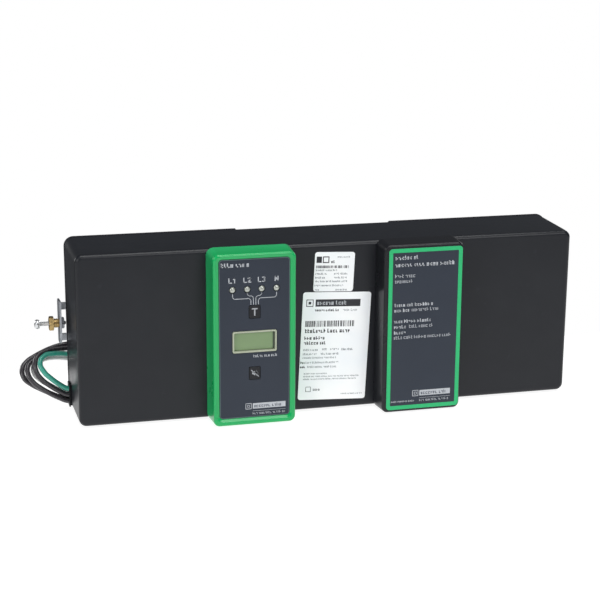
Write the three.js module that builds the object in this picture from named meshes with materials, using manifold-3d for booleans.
// A surge protective device for a distribution panel: a long shallow housing with a display
// module and a label pod on its front, a bracket with a captive clamp screw at its left end,
// and five leads that loop out of its lower left corner. Millimetres, +Z up, +Y to the back.
// Pieces are drawn in the housing's frame: x right from the cover's left edge, y back from the
// cover's front face, z up from its lower edge. The last section moves the origin to the
// middle of the underside.
import * as THREE from 'three';
import { mergeVertices } from 'three/addons/utils/BufferGeometryUtils.js';
import Module from 'manifold-3d';

const wasm = await Module();
wasm.setup();

// ---------- driving dimensions ----------
const GAP = 0.3; // between neighbouring pieces
const COVER = { width: 413.6, height: 140, depth: 60, wall: 2.5, draft: 1.4, corner: 6, edge: 1.8 };
const PLATE = { front: COVER.depth + GAP, thick: 3, proud: 1.8, notchWidth: 131.6, notchDepth: 1.2 };
const BACK = PLATE.front + PLATE.thick;
const MODULE = { width: 66.8, bottom: -0.6, top: 140, front: -22.5, draft: 1.2, corner: 5, edge: 2, wall: 2 };
const DISPLAY_X = 137.4;
const POD_X = 277.6;
const POD_FRONT = -20.7;
const WINDOW = { width: 57.6, bottom: 5.2, top: 135.8 };
const OVERLAY = { front: -21.4, thick: 1.2, corner: 2.7 };
const DISPLAY_BOARD = { front: -14, thick: 1.6, width: 50, bottom: 14, top: 126 };
const LED = { radius: 2.5, z: 110.9, offsets: [-17.7, -5.8, 5.8, 17.7], tip: -22.2, dome: 1.8 };
const LCD = { width: 35.8, bottom: 59.4, top: 77, border: 1.3, front: -21.9, back: -15.5, corner: 1.5 };
const LCD_PANEL = { recess: 2.5, back: -16, corner: 0.6 };
const BUTTON = { width: 8.9, height: 10.3, front: -21.7, corner: 0.8, travel: 0.8 };
const BUTTON_FLANGE = { reach: 1, thick: 1, stem: 2 };
const BUTTON_ZS = { test: 92.5, mute: 42.1 };
const POD_LABEL = { left: 247.4, right: 309.8, bottom: 1.7, top: 137.1, thick: 0.25 };
const STICKER_TILT = THREE.MathUtils.degToRad(2.7);
const LARGE_STICKER = { x: 208.8, z: 53.5, width: 57.4, height: 91 };
const SMALL_STICKER = { x: 207.9, z: 116, width: 33.4, height: 32.6 };
const STICKER_THICK = 0.25;
const POSTS = [[40, 8], [40, 132], [373.6, 8], [373.6, 132]];
const POST = { half: 5, front: 22, pilot: 1.9, pilotFront: 36 };
const COVER_SCREW = { shank: 1.5, start: 38, head: 3.4, headThick: 1.5, hole: 2.1, sink: 3.8 };
const KEYHOLE = { xs: [60, 355], zs: [32, 92], entry: 4.8, slot: 2.4, rise: 9 };
const CABLE_WINDOW = { half: 22, bottom: 25, top: 120 };
const SNAP = { offset: 20, half: 4, thick: 2, z: 7, back: 5.2, hookDepth: 2.2, hookReach: 3.6 };
const SWITCH = { half: 3.1, front: -16.2, plunger: 1.6, plungerFront: -16.6 };
const PLUG = { half: 11, bottom: 66, top: 74, front: 44.3 };
const RIBBON = { half: 9, thick: 1, steps: 20 };
const BUZZER = { radius: 6, front: -19, z: 22 };
const SCREW_AXIS = { y: 53, z: 72.6 };
const SCREW = { headLeft: -28.4, headRight: -25.4, headRadius: 3.8, shankRadius: 1.75, tip: -3 };
const DRIVER_SLOT = { width: 1, depth: 1.2 };
const WASHER = { radius: 3.5, thick: 0.8, bore: 2.2 };
const BUSH = { hexLeft: -16.7, hexRight: -12.9, hex: 6.1, neck: 2.9, barrel: 3.8, spigot: 3.1 };
const BUSH_END = { bore: 2.2, right: -4.6 };
const NUT = { radius: 4.8, right: -4.4, bore: 3.5 };
const INSERT = { left: 1.7, right: 8.8, radius: 3.7, bore: 2.2 };
const INSERT_BOSS = { front: 47.2, right: 9, half: 6.2 };
const BRACKET = { left: -8.6, right: -7.1, front: 44, bottom: 55, top: 91, corner: 12, chamfer: 2, peak: 92.5 };
const LEG = { height: 6, end: 16, thick: 1.5 };
const LEG_BOTTOMS = [BRACKET.bottom, 81.2];
const RIVET = { x: 10, hole: 1.9, shank: 1.5, head: 3.2, headThick: 1.6 };
const WIRE_SLOT = { bottom: 2.4, top: 20.2, front: 48.6 };
const GROMMET = { left: -2.4, right: 5, flangeLeft: -2.7, flangeRight: -1.75, lip: 1, clearance: 0.36 };
const TERMINALS = { left: 13, right: 27, front: 38, back: 59.5, bottom: 3.5, top: 24 };
const LEAD = { radius: 2.1, sides: 8, steps: 52, inside: 12.6 };
const MAIN_BOARD = { left: 30, right: 385, bottom: 15, top: 125, front: 48.4, thick: 1.6 };
const MOV_LEFTS = [50, 156, 226, 296];
const MOV = { width: 62, bottom: 28, top: 112, front: 12 };
const FUSE = { half: 21, cap: 9, capRadius: 5, radius: 4.5, z: 118.5 };
const BUS_BAR = { left: 46, right: 368, front: 40, thick: 2, bottom: 17, top: 25, tabs: [60, 210, 355] };
const STANDOFF = { radius: 3.5, xs: [45, 370], zs: [34, 112] };
const THROUGH = [50, 70]; // from in front of the base plate to behind it
const AHEAD = [-30, -10]; // from in front of the modules to behind the display overlay

// ---------- materials ----------
function finish(color, roughness, metalness = 0) {
  return new THREE.MeshStandardMaterial({ color, roughness, metalness });
}

const BLACK_SHELL = finish('#2b2c31', 0.45);
const BLACK_PLASTIC = finish('#1c1c20', 0.4);
const BEZEL_GREEN = finish('#1faa5e', 0.45);
const SLATE = finish('#3c4150', 0.5);
const LCD_GREY = finish('#7d9b6e', 0.25);
const CREAM = finish('#cfd3bd', 0.5);
const PEARL = finish('#e4e6e0', 0.3);
const PAPER = finish('#eef0f2', 0.55);
const ZINC = finish('#9aa0a6', 0.35, 0.9);
const BRASS = finish('#b4965a', 0.3, 0.95);
const STEEL = finish('#b8bcc0', 0.3, 0.95);
const COPPER = finish('#b8693e', 0.3, 0.95);
const BOARD_GREEN = finish('#1f5a38', 0.5);
const MOV_BLUE = finish('#27406e', 0.6);
const CERAMIC = finish('#d9d2c0', 0.6);
const RUBBER = finish('#17181a', 0.8);
const RIBBON_GREY = finish('#8d9096', 0.6);
const LEAD_COLORS = {
  black: finish('#1a1b1d', 0.35),
  white: finish('#d8dad8', 0.35),
  green: finish('#2f8f70', 0.35),
};

// ---------- solids ----------
function toSolid(geometry) {
  const bare = geometry.clone();
  bare.deleteAttribute('normal');
  bare.deleteAttribute('uv');
  const merged = mergeVertices(bare, 1e-4);
  const vertProperties = new Float32Array(merged.attributes.position.array);
  const triVerts = new Uint32Array(merged.index.array);
  return new wasm.Manifold(new wasm.Mesh({ numProp: 3, vertProperties, triVerts }));
}

function toGeometry(solid) {
  const mesh = solid.getMesh();
  const geometry = new THREE.BufferGeometry();
  geometry.setAttribute('position', new THREE.Float32BufferAttribute(mesh.vertProperties, 3));
  geometry.setIndex(new THREE.Uint32BufferAttribute(mesh.triVerts, 1));
  geometry.computeVertexNormals();
  return geometry;
}

function join(first, ...others) {
  return others.reduce((sum, solid) => sum.add(solid), first);
}

function cut(first, ...others) {
  return others.reduce((rest, solid) => rest.subtract(solid), first);
}

function block(x0, x1, y0, y1, z0, z1) {
  const geometry = new THREE.BoxGeometry(x1 - x0, y1 - y0, z1 - z0);
  return toSolid(geometry.translate((x0 + x1) / 2, (y0 + y1) / 2, (z0 + z1) / 2));
}

// A turned piece on a line along one axis: profile is a list of [distance along, radius].
function turned(axis, profile, a, b, sides = 16) {
  const points = profile.map(([along, radius]) => new THREE.Vector2(radius, along));
  const geometry = new THREE.LatheGeometry(points, sides);
  if (axis === 'x') geometry.rotateZ(-Math.PI / 2).translate(0, a, b);
  if (axis === 'y') geometry.translate(a, 0, b);
  return toSolid(geometry);
}

function rod(axis, radius, start, end, a, b, sides = 16) {
  return turned(axis, [[start, 0], [start, radius], [end, radius], [end, 0]], a, b, sides);
}

// A flat outline in x and z, given thickness from y0 to y1.
function slab(shape, y0, y1, curveSegments = 2) {
  const geometry = new THREE.ExtrudeGeometry(shape, { depth: y1 - y0, bevelEnabled: false, curveSegments });
  return toSolid(geometry.rotateX(Math.PI / 2).translate(0, y1, 0));
}

function roundedRectangle(x0, x1, z0, z1, radius) {
  const shape = new THREE.Shape();
  shape.absarc(x1 - radius, z0 + radius, radius, -Math.PI / 2, 0, false);
  shape.absarc(x1 - radius, z1 - radius, radius, 0, Math.PI / 2, false);
  shape.absarc(x0 + radius, z1 - radius, radius, Math.PI / 2, Math.PI, false);
  shape.absarc(x0 + radius, z0 + radius, radius, Math.PI, Math.PI * 1.5, false);
  return shape;
}

// A rounded rectangle swept to the back: each ring says how far the outline has grown at a depth.
function drafted(x0, x1, z0, z1, corner, rings) {
  const outlines = rings.map(({ y, grow }) => {
    const shape = roundedRectangle(x0 - grow, x1 + grow, z0 - grow, z1 + grow, Math.max(corner + grow, 0.5));
    return shape.extractPoints(3).shape.slice(0, -1).map((p) => [p.x, y, p.y]);
  });
  const count = outlines[0].length;
  const positions = outlines.flat(2);
  const indices = [];
  for (let ring = 0; ring + 1 < outlines.length; ring += 1) {
    for (let i = 0; i < count; i += 1) {
      const front = ring * count + i;
      const next = ring * count + ((i + 1) % count);
      indices.push(front, front + count, next + count, front, next + count, next);
    }
  }
  const last = (outlines.length - 1) * count;
  for (let i = 1; i + 1 < count; i += 1) {
    indices.push(0, i, i + 1, last, last + i + 1, last + i);
  }
  const geometry = new THREE.BufferGeometry();
  geometry.setAttribute('position', new THREE.Float32BufferAttribute(positions, 3));
  geometry.setIndex(indices);
  return toSolid(geometry);
}

// Rings of a shell whose front edge is rounded and whose sides lean out towards the back.
function roundedFront(front, back, radius, draft) {
  const rings = [0, 30, 60, 90].map((degrees) => {
    const angle = THREE.MathUtils.degToRad(degrees);
    return { y: front + radius * (1 - Math.cos(angle)), grow: radius * (Math.sin(angle) - 1) };
  });
  return [...rings, { y: back, grow: draft }];
}

const part = new THREE.Group();

function add(name, solid, material) {
  const mesh = new THREE.Mesh(toGeometry(solid), material);
  mesh.name = name;
  part.add(mesh);
}

// ---------- housing ----------
function coverShell() {
  const { width, height, depth, wall, draft, corner, edge } = COVER;
  const outer = drafted(0, width, 0, height, corner, roundedFront(0, depth, edge, draft));
  const cavity = [{ y: wall, grow: 0 }, { y: depth + 1, grow: draft }];
  return cut(outer, drafted(wall, width - wall, wall, height - wall, corner - wall, cavity));
}

function screwPosts() {
  return POSTS.map(([x, z]) => {
    const low = z < COVER.height / 2;
    const bottom = low ? 0.5 : z - POST.half;
    const top = low ? z + POST.half : COVER.height - 0.5;
    const post = block(x - POST.half, x + POST.half, POST.front, COVER.depth, bottom, top);
    return cut(post, rod('y', POST.pilot, POST.pilotFront, COVER.depth + 1, x, z, 10));
  });
}

// Slots in the cover's front wall for the legs of the modules.
function mirrored(z) {
  return COVER.height - z;
}

function snapSlots(centre) {
  const half = SNAP.half + 0.4;
  const low = SNAP.z - 0.4;
  const high = SNAP.z + SNAP.hookReach + 0.8;
  return [-SNAP.offset, SNAP.offset].flatMap((dx) => [
    block(centre + dx - half, centre + dx + half, -1, COVER.wall + 1, low, high),
    block(centre + dx - half, centre + dx + half, -1, COVER.wall + 1, mirrored(high), mirrored(low)),
  ]);
}

function frontCover() {
  const { y, z } = SCREW_AXIS;
  const boss = INSERT_BOSS;
  const insertBoss = block(0.5, boss.right, boss.front, COVER.depth, z - boss.half, z + boss.half);
  const { half, bottom, top } = CABLE_WINDOW;
  return cut(
    join(coverShell(), insertBoss, ...screwPosts()),
    block(DISPLAY_X - half, DISPLAY_X + half, -1, COVER.wall + 1, bottom, top),
    ...snapSlots(DISPLAY_X),
    ...snapSlots(POD_X),
    block(-4, COVER.wall + 3, WIRE_SLOT.front, COVER.depth + 1, WIRE_SLOT.bottom, WIRE_SLOT.top),
    rod('x', SCREW.shankRadius + 0.7, -4, INSERT.left, y, z, 16),
    rod('x', INSERT.radius + 0.4, INSERT.left - 0.5, boss.right + 0.5, y, z, 16),
  );
}

function plateOutline() {
  const { proud, notchWidth, notchDepth } = PLATE;
  const radius = COVER.corner + proud;
  const shape = roundedRectangle(-proud, COVER.width + proud, -proud, COVER.height + proud, radius);
  const notchLeft = (COVER.width - notchWidth) / 2;
  const notchBottom = COVER.height + proud - notchDepth;
  const notch = block(notchLeft, notchLeft + notchWidth, ...THROUGH, notchBottom, notchBottom + 10);
  return cut(slab(shape, PLATE.front, BACK), notch);
}

function keyhole(x, z) {
  const { entry, slot, rise } = KEYHOLE;
  return join(
    rod('y', entry, ...THROUGH, x, z, 16),
    block(x - slot, x + slot, ...THROUGH, z, z + rise),
    rod('y', slot, ...THROUGH, x, z + rise, 12),
  );
}

function basePlate() {
  const { hole, sink, headThick } = COVER_SCREW;
  const holes = POSTS.map(([x, z]) => rod('y', hole, ...THROUGH, x, z, 12));
  const sinks = POSTS.map(([x, z]) => rod('y', sink, BACK - headThick - 0.4, BACK + 1, x, z, 16));
  const keyholes = KEYHOLE.xs.flatMap((x) => KEYHOLE.zs.map((z) => keyhole(x, z)));
  const pockets = LEG_BOTTOMS.map((z) => {
    return block(-5, LEG.end + GAP, BACK - LEG.thick - GAP, BACK + 1, z - GAP, z + LEG.height + GAP);
  });
  return cut(plateOutline(), ...holes, ...sinks, ...keyholes, ...pockets, ...rivetHoles());
}

function rivetHoles() {
  return LEG_BOTTOMS.map((z) => rod('y', RIVET.hole, ...THROUGH, RIVET.x, z + LEG.height / 2, 12));
}

function coverScrew([x, z]) {
  const { start, shank, head, headThick } = COVER_SCREW;
  const back = BACK - 0.1;
  const neck = back - headThick;
  const profile = [[start, 0], [start, shank], [neck, shank], [neck, head], [back, head], [back, 0]];
  return turned('y', profile, x, z, 12);
}

add('front_cover', frontCover(), BLACK_SHELL);
add('base_plate', basePlate(), BLACK_PLASTIC);
POSTS.forEach((post, i) => add(`cover_screw_${i + 1}`, coverScrew(post), STEEL));

// ---------- modules on the front ----------
function moduleShell(centre, front) {
  const { width, bottom, top, draft, corner, edge, wall } = MODULE;
  const x0 = centre - width / 2;
  const x1 = centre + width / 2;
  const outer = drafted(x0, x1, bottom, top, corner, roundedFront(front, -GAP, edge, draft));
  const cavity = [{ y: front + wall, grow: 0 }, { y: 0.5, grow: draft }];
  return cut(outer, drafted(x0 + wall, x1 - wall, bottom + wall, top - wall, corner - wall, cavity));
}

// Four legs inside the module's ends, each with a hook that catches behind the cover's front wall.
function snapLegs(centre) {
  const { offset, half, thick, z: reach, back, hookDepth, hookReach } = SNAP;
  const across = (z, from, to) => [z + from, z + to].sort((a, b) => a - b);
  return [-offset, offset].flatMap((dx) => [[reach, 1], [COVER.height - reach, -1]].map(([z, inward]) => {
    const x0 = centre + dx - half;
    const x1 = centre + dx + half;
    return join(
      block(x0, x1, -6, back, ...across(z, 0, inward * thick)),
      block(x0, x1, back - hookDepth, back, ...across(z, inward * 0.5, inward * hookReach)),
      block(x0, x1, -6, -3, ...across(z, inward * -6.5, inward * thick)),
    );
  }));
}

function displayBezel() {
  const left = DISPLAY_X - WINDOW.width / 2;
  const right = DISPLAY_X + WINDOW.width / 2;
  const overlayBack = OVERLAY.front + OVERLAY.thick;
  const ledge = roundedRectangle(left + 2, right - 2, WINDOW.bottom + 2, WINDOW.top - 2, 1.5);
  const recess = roundedRectangle(left, right, WINDOW.bottom, WINDOW.top, 3);
  const rim = roundedRectangle(left - 3, right + 3, WINDOW.bottom - 4, WINDOW.top + 2.5, 3);
  return cut(
    join(moduleShell(DISPLAY_X, MODULE.front), slab(rim, -21, overlayBack + 1.8), ...snapLegs(DISPLAY_X)),
    slab(recess, AHEAD[0], overlayBack + GAP),
    slab(ledge, ...AHEAD),
  );
}

add('display_bezel', displayBezel(), BEZEL_GREEN);
add('label_pod', join(moduleShell(POD_X, POD_FRONT), ...snapLegs(POD_X)), BLACK_PLASTIC);

// ---------- display ----------
function displayOverlay() {
  const half = WINDOW.width / 2 - GAP;
  const low = WINDOW.bottom + GAP;
  const high = WINDOW.top - GAP;
  const outline = roundedRectangle(DISPLAY_X - half, DISPLAY_X + half, low, high, OVERLAY.corner);
  const { front, thick } = OVERLAY;
  const lcdHalf = LCD.width / 2 + GAP;
  const ledHoles = LED.offsets.map((dx) => rod('y', LED.radius + GAP, ...AHEAD, DISPLAY_X + dx, LED.z, 20));
  const keyHoles = Object.values(BUTTON_ZS).map((z) => {
    const halfWidth = BUTTON.width / 2 + GAP;
    const halfHeight = BUTTON.height / 2 + GAP;
    return block(DISPLAY_X - halfWidth, DISPLAY_X + halfWidth, ...AHEAD, z - halfHeight, z + halfHeight);
  });
  const lcdSides = [DISPLAY_X - lcdHalf, DISPLAY_X + lcdHalf];
  const lcdHole = block(...lcdSides, ...AHEAD, LCD.bottom - GAP, LCD.top + GAP);
  return cut(slab(outline, front, front + thick), lcdHole, ...ledHoles, ...keyHoles);
}

function lcdFrame() {
  const { width, bottom, top, border, front, back, corner } = LCD;
  const left = DISPLAY_X - width / 2;
  const right = DISPLAY_X + width / 2;
  const outer = slab(roundedRectangle(left, right, bottom, top, corner), front, back);
  const inner = [left + border, right - border, bottom + border, top - border];
  return cut(outer, slab(roundedRectangle(...inner, corner / 2), front - 1, back + 1));
}

function lcdPanel() {
  const inset = LCD.border + GAP;
  const half = LCD.width / 2 - inset;
  const low = LCD.bottom + inset;
  const high = LCD.top - inset;
  const outline = roundedRectangle(DISPLAY_X - half, DISPLAY_X + half, low, high, LCD_PANEL.corner);
  return slab(outline, LCD.front + LCD_PANEL.recess, LCD_PANEL.back);
}

function ledProfile() {
  const { radius, tip, dome: depth } = LED;
  const dome = [0, 30, 60, 90].map((degrees) => {
    const angle = THREE.MathUtils.degToRad(degrees);
    return [tip + depth * (1 - Math.cos(angle)), radius * Math.sin(angle)];
  });
  return [...dome, [DISPLAY_BOARD.front - GAP, radius], [DISPLAY_BOARD.front - GAP, 0]];
}

function buttonCap(z) {
  const { width, height, front } = BUTTON;
  const flangeFront = OVERLAY.front + OVERLAY.thick + GAP;
  const { reach, thick, stem } = BUTTON_FLANGE;
  const flangeHalf = width / 2 + reach;
  const flangeTall = height / 2 + reach;
  const flange = [DISPLAY_X - flangeHalf, DISPLAY_X + flangeHalf];
  const sides = [DISPLAY_X - width / 2, DISPLAY_X + width / 2, z - height / 2, z + height / 2];
  const key = roundedRectangle(...sides, BUTTON.corner);
  return join(
    slab(key, front, flangeFront + thick / 2),
    block(...flange, flangeFront, flangeFront + thick, z - flangeTall, z + flangeTall),
    rod('y', stem, flangeFront, SWITCH.plungerFront - BUTTON.travel - 0.2, DISPLAY_X, z, 12),
  );
}

function tactileSwitch(z) {
  const { half, front, plunger, plungerFront } = SWITCH;
  return join(
    block(DISPLAY_X - half, DISPLAY_X + half, front, DISPLAY_BOARD.front - GAP, z - half, z + half),
    rod('y', plunger, plungerFront, front + 0.7, DISPLAY_X, z, 12),
  );
}

function displayBoard() {
  const { front, thick, width, bottom, top } = DISPLAY_BOARD;
  const back = front + thick;
  return join(
    block(DISPLAY_X - width / 2, DISPLAY_X + width / 2, front, back, bottom, top),
    block(DISPLAY_X - PLUG.half, DISPLAY_X + PLUG.half, back - 0.5, back + 6, PLUG.bottom, PLUG.top),
  );
}

function alarmBuzzer() {
  return rod('y', BUZZER.radius, BUZZER.front, DISPLAY_BOARD.front - GAP, DISPLAY_X, BUZZER.z, 20);
}

function ribbonPath() {
  const points = [[-5.9, 70], [-2, 70], [6, 66], [16, 62], [27, 66], [38, 70], [44, 70]];
  return new THREE.CatmullRomCurve3(points.map(([y, z]) => new THREE.Vector3(DISPLAY_X, y, z)));
}

function ribbonCable() {
  const { half, thick, steps } = RIBBON;
  const section = new THREE.Shape();
  section.moveTo(-half, -thick / 2).lineTo(half, -thick / 2);
  section.lineTo(half, thick / 2).lineTo(-half, thick / 2);
  section.closePath();
  const extrudePath = ribbonPath();
  return toSolid(new THREE.ExtrudeGeometry(section, { steps, bevelEnabled: false, extrudePath }));
}

add('display_overlay', displayOverlay(), SLATE);
add('lcd_frame', lcdFrame(), CREAM);
add('lcd_panel', lcdPanel(), LCD_GREY);
LED.offsets.forEach((dx, i) => {
  add(`status_led_${i + 1}`, turned('y', ledProfile(), DISPLAY_X + dx, LED.z, 16), PEARL);
});
add('test_button', buttonCap(BUTTON_ZS.test), BLACK_PLASTIC);
add('mute_button', buttonCap(BUTTON_ZS.mute), BLACK_PLASTIC);
add('test_switch', tactileSwitch(BUTTON_ZS.test), BLACK_PLASTIC);
add('mute_switch', tactileSwitch(BUTTON_ZS.mute), BLACK_PLASTIC);
add('display_board', displayBoard(), BOARD_GREEN);
add('alarm_buzzer', alarmBuzzer(), BLACK_PLASTIC);
add('display_ribbon', ribbonCable(), RIBBON_GREY);

// ---------- labels ----------
function sticker({ x, z, width, height }) {
  const shape = roundedRectangle(-width / 2, width / 2, -height / 2, height / 2, 2);
  const extrusion = { depth: STICKER_THICK, bevelEnabled: false, curveSegments: 2 };
  const geometry = new THREE.ExtrudeGeometry(shape, extrusion);
  geometry.rotateX(Math.PI / 2).rotateY(STICKER_TILT);
  return toSolid(geometry.translate(x, -GAP, z));
}

function podLabel() {
  const { left, right, bottom, top, thick } = POD_LABEL;
  return slab(roundedRectangle(left, right, bottom, top, 3), POD_FRONT - GAP - thick, POD_FRONT - GAP);
}

add('pod_label', podLabel(), SLATE);
add('rating_label_large', sticker(LARGE_STICKER), PAPER);
add('rating_label_small', sticker(SMALL_STICKER), PAPER);

// ---------- surge components inside ----------
function mainBoard() {
  const { left, right, bottom, top, front, thick } = MAIN_BOARD;
  const sides = [DISPLAY_X - PLUG.half, DISPLAY_X + PLUG.half];
  const socket = block(...sides, PLUG.front, front + 0.5, PLUG.bottom, PLUG.top);
  return join(block(left, right, front, front + thick, bottom, top), socket);
}

function surgeModule(left) {
  const { width, bottom, top, front } = MOV;
  const back = MAIN_BOARD.front - GAP;
  return slab(roundedRectangle(left, left + width, bottom, top, 3), front, back);
}

function fuse(left) {
  const { half, cap, capRadius, radius, z } = FUSE;
  const middle = left + MOV.width / 2;
  const start = middle - half;
  const end = middle + half;
  const profile = [
    [start, 0], [start, capRadius], [start + cap, capRadius], [start + cap, radius],
    [end - cap, radius], [end - cap, capRadius], [end, capRadius], [end, 0],
  ];
  return turned('x', profile, MAIN_BOARD.front - capRadius - 1.5, z, 14);
}

function busBar() {
  const { left, right, front, thick, bottom, top, tabs } = BUS_BAR;
  const feet = tabs.map((x) => block(x - 3, x + 3, front, MAIN_BOARD.front - GAP, bottom + 2.5, top - 2.5));
  return join(block(left, right, front, front + thick, bottom, top), ...feet);
}

function standoff([x, z]) {
  const start = MAIN_BOARD.front + MAIN_BOARD.thick + GAP;
  return rod('y', STANDOFF.radius, start, PLATE.front - GAP, x, z, 6);
}

function leadTerminals() {
  const { left, right, front, back, bottom, top } = TERMINALS;
  return block(left, right, front, back, bottom, top);
}

add('main_board', mainBoard(), BOARD_GREEN);
MOV_LEFTS.forEach((left, i) => {
  add(`surge_module_${i + 1}`, surgeModule(left), MOV_BLUE);
  add(`surge_fuse_${i + 1}`, fuse(left), CERAMIC);
});
STANDOFF.xs.flatMap((x) => STANDOFF.zs.map((z) => [x, z])).forEach((place, i) => {
  add(`board_standoff_${i + 1}`, standoff(place), STEEL);
});
add('neutral_bar', busBar(), COPPER);
add('lead_terminals', leadTerminals(), BLACK_PLASTIC);

// ---------- bracket and captive screw ----------
function sideBracket() {
  const { left, right, front, bottom, top, corner, chamfer, peak } = BRACKET;
  const outline = new THREE.Shape();
  outline.moveTo(front, bottom + corner);
  outline.absarc(front + corner, bottom + corner, corner, Math.PI, Math.PI * 1.5, false);
  outline.lineTo(BACK, bottom).lineTo(BACK, top - chamfer);
  outline.lineTo(BACK - chamfer, top).lineTo(front, peak).closePath();
  const extrusion = { depth: right - left, bevelEnabled: false, curveSegments: 5 };
  const plate = new THREE.ExtrudeGeometry(outline, extrusion);
  plate.rotateX(Math.PI / 2).rotateZ(Math.PI / 2).translate(left, 0, 0);
  const legs = LEG_BOTTOMS.map((z) => block(left, LEG.end, BACK - LEG.thick, BACK, z, z + LEG.height));
  const bushHole = rod('x', BUSH.spigot + 0.4, left - 1, right + 1, SCREW_AXIS.y, SCREW_AXIS.z, 16);
  return cut(join(toSolid(plate), ...legs), bushHole, ...rivetHoles());
}

function brassBush() {
  const { y, z } = SCREW_AXIS;
  const { hexLeft, hexRight, hex, neck, barrel, spigot } = BUSH;
  const { bore, right } = BUSH_END;
  const neckStart = hexRight - 0.1;
  const barrelStart = hexRight + 0.6;
  const barrelEnd = BRACKET.left - GAP;
  const body = [
    [neckStart, 0], [neckStart, neck], [barrelStart, neck], [barrelStart, barrel],
    [barrelEnd, barrel], [barrelEnd, spigot], [right, spigot], [right, 0],
  ];
  return cut(
    join(rod('x', hex, hexLeft, hexRight, y, z, 6), turned('x', body, y, z, 16)),
    rod('x', bore, hexLeft - 1, right + 1, y, z, 16),
  );
}

function ring(radius, bore, start, end, sides) {
  const { y, z } = SCREW_AXIS;
  return cut(rod('x', radius, start, end, y, z, sides), rod('x', bore, start - 1, end + 1, y, z, 16));
}

function clampScrew() {
  const { headLeft, headRight, headRadius, shankRadius, tip } = SCREW;
  const { width, depth } = DRIVER_SLOT;
  const profile = [
    [headLeft, 0], [headLeft, headRadius - 1.2], [headLeft + 0.8, headRadius], [headRight, headRadius],
    [headRight, shankRadius], [tip - 0.8, shankRadius], [tip, shankRadius - 0.8], [tip, 0],
  ];
  const { y, z } = SCREW_AXIS;
  const driverSlot = block(headLeft - 1, headLeft + depth, y - width / 2, y + width / 2, z - 6, z + 6);
  return cut(turned('x', profile, y, z, 16), driverSlot);
}

function rivet(z) {
  const { x, shank, head, headThick } = RIVET;
  const seat = PLATE.front - GAP;
  const back = BACK - 0.1;
  const top = seat - headThick;
  return turned('y', [[top, 0], [top, 2], [seat, head], [seat, shank], [back, shank], [back, 0]], x, z, 12);
}

add('side_bracket', sideBracket(), ZINC);
add('bracket_bush', brassBush(), BRASS);
add('bush_nut', ring(NUT.radius, NUT.bore, BRACKET.right + GAP, NUT.right, 6), ZINC);
const washerLeft = SCREW.headRight + GAP;
add('screw_washer', ring(WASHER.radius, WASHER.bore, washerLeft, washerLeft + WASHER.thick, 20), STEEL);
add('clamp_screw', clampScrew(), STEEL);
add('screw_insert', ring(INSERT.radius, INSERT.bore, INSERT.left, INSERT.right, 16), BRASS);
LEG_BOTTOMS.forEach((z, i) => add(`bracket_rivet_${i + 1}`, rivet(z + LEG.height / 2), ZINC));

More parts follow.
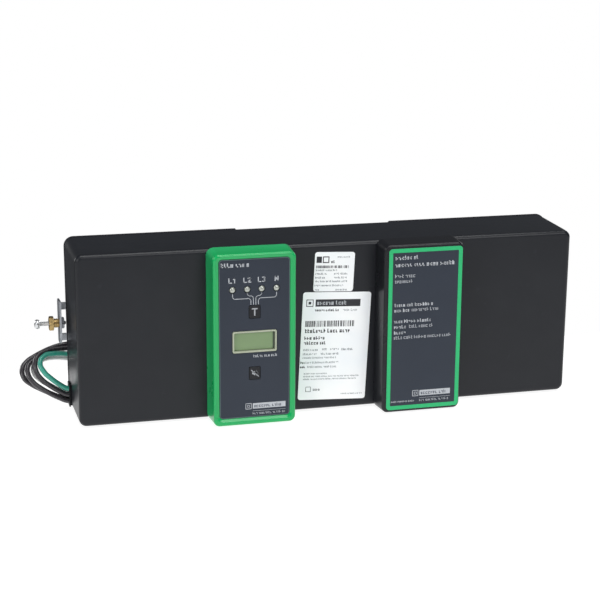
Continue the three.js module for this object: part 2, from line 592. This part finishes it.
// ---------- leads ----------
// Each route starts at the terminals, leaves through the grommet, loops to the left, passes
// behind the housing and ends on the surface that the housing stands on.
const FLOOR = LEAD.radius + 0.4 - PLATE.proud;
const LEAD_EXITS = {
  lead_black_1: [56.7, 5.9],
  lead_black_2: [52, 5.9],
  lead_white: [56.7, 11.3],
  lead_black_3: [52, 11.3],
  lead_green: [52, 16.7],
};
const LEAD_LOOPS = {
  lead_black_1: [
    [-33, 61.5, 20], [-38, 64, 25], [-38.5, 68, 31], [-34.5, 72, 35.5], [-8.5, 82, 44.5], [13, 83, 45],
    [46.5, 86.5, 33.5], [77, 88.5, 14.5], [111, 89.5, 2], [128.5, 89.5, FLOOR], [170.5, 92, FLOOR],
    [337.3, 94, FLOOR],
  ],
  lead_black_2: [
    [-32, 56.5, 24], [-34, 64, 34.5], [-8.5, 76, 43], [30, 80, 40], [76, 83.5, 12], [92.5, 84, 5],
    [110, 84, 1], [152, 85.5, FLOOR], [278, 87.5, FLOOR], [343.7, 86.5, FLOOR],
  ],
  lead_white: [
    [-25.5, 62, 23.5], [-29.5, 65.5, 28.5], [-28, 70.5, 33.5], [-15, 75, 37], [14, 73.5, 32],
    [62, 74, 7.5], [79, 74, 2.5], [223, 76, FLOOR], [363.4, 75, FLOOR],
  ],
  lead_black_3: [
    [-25.5, 55.5, 26.5], [-28.5, 58.5, 34], [-27.5, 62.5, 40.5], [-22, 66.5, 44.5], [15, 74, 42.5],
    [77.5, 79, 8], [94.5, 79, 2], [154.5, 80, FLOOR], [301, 81.5, FLOOR], [355.6, 80.5, FLOOR],
  ],
  lead_green: [
    [-20.5, 53, 30], [-24.5, 56.5, 36.5], [-23, 60.5, 41.5], [-15, 64, 43.5], [22.5, 68.5, 35.5],
    [59.5, 69, 13], [93.5, 69, 1], [111.5, 69, FLOOR], [195.5, 70, FLOOR], [370, 69, FLOOR],
  ],
};

function wireGrommet() {
  const { front, bottom, top } = WIRE_SLOT;
  const { left, right, flangeLeft, flangeRight, lip, clearance } = GROMMET;
  const body = block(left, right, front + GAP, COVER.depth, bottom + GAP, top - GAP);
  const flange = block(flangeLeft, flangeRight, front - lip, COVER.depth, bottom - lip, top + lip);
  const bores = Object.values(LEAD_EXITS).map(([y, z]) => {
    return rod('x', LEAD.radius + clearance, flangeLeft - 1, right + 1, y, z, 16);
  });
  return cut(join(body, flange), ...bores);
}

function lead(name) {
  const [y, z] = LEAD_EXITS[name];
  const route = [[LEAD.inside, y, z], [4, y, z], [-3.6, y, z + 0.1], ...LEAD_LOOPS[name]];
  const extrudePath = new THREE.CatmullRomCurve3(route.map((point) => new THREE.Vector3(...point)));
  const section = new THREE.Shape();
  for (let i = 0; i < LEAD.sides; i += 1) {
    const angle = (i / LEAD.sides) * Math.PI * 2;
    section[i === 0 ? 'moveTo' : 'lineTo'](LEAD.radius * Math.cos(angle), LEAD.radius * Math.sin(angle));
  }
  section.closePath();
  return toSolid(new THREE.ExtrudeGeometry(section, { steps: LEAD.steps, bevelEnabled: false, extrudePath }));
}

add('wire_grommet', wireGrommet(), RUBBER);
for (const name of Object.keys(LEAD_LOOPS)) {
  const color = name.split('_')[1];
  add(name, lead(name), LEAD_COLORS[color]);
}

// ---------- origin ----------
// The middle of the underside, without the leads.
const LEFT = SCREW.headLeft;
const RIGHT = COVER.width + PLATE.proud;
part.position.set(-(LEFT + RIGHT) / 2, -(MODULE.front + BACK) / 2, PLATE.proud);
part.updateMatrixWorld(true);

export default part;
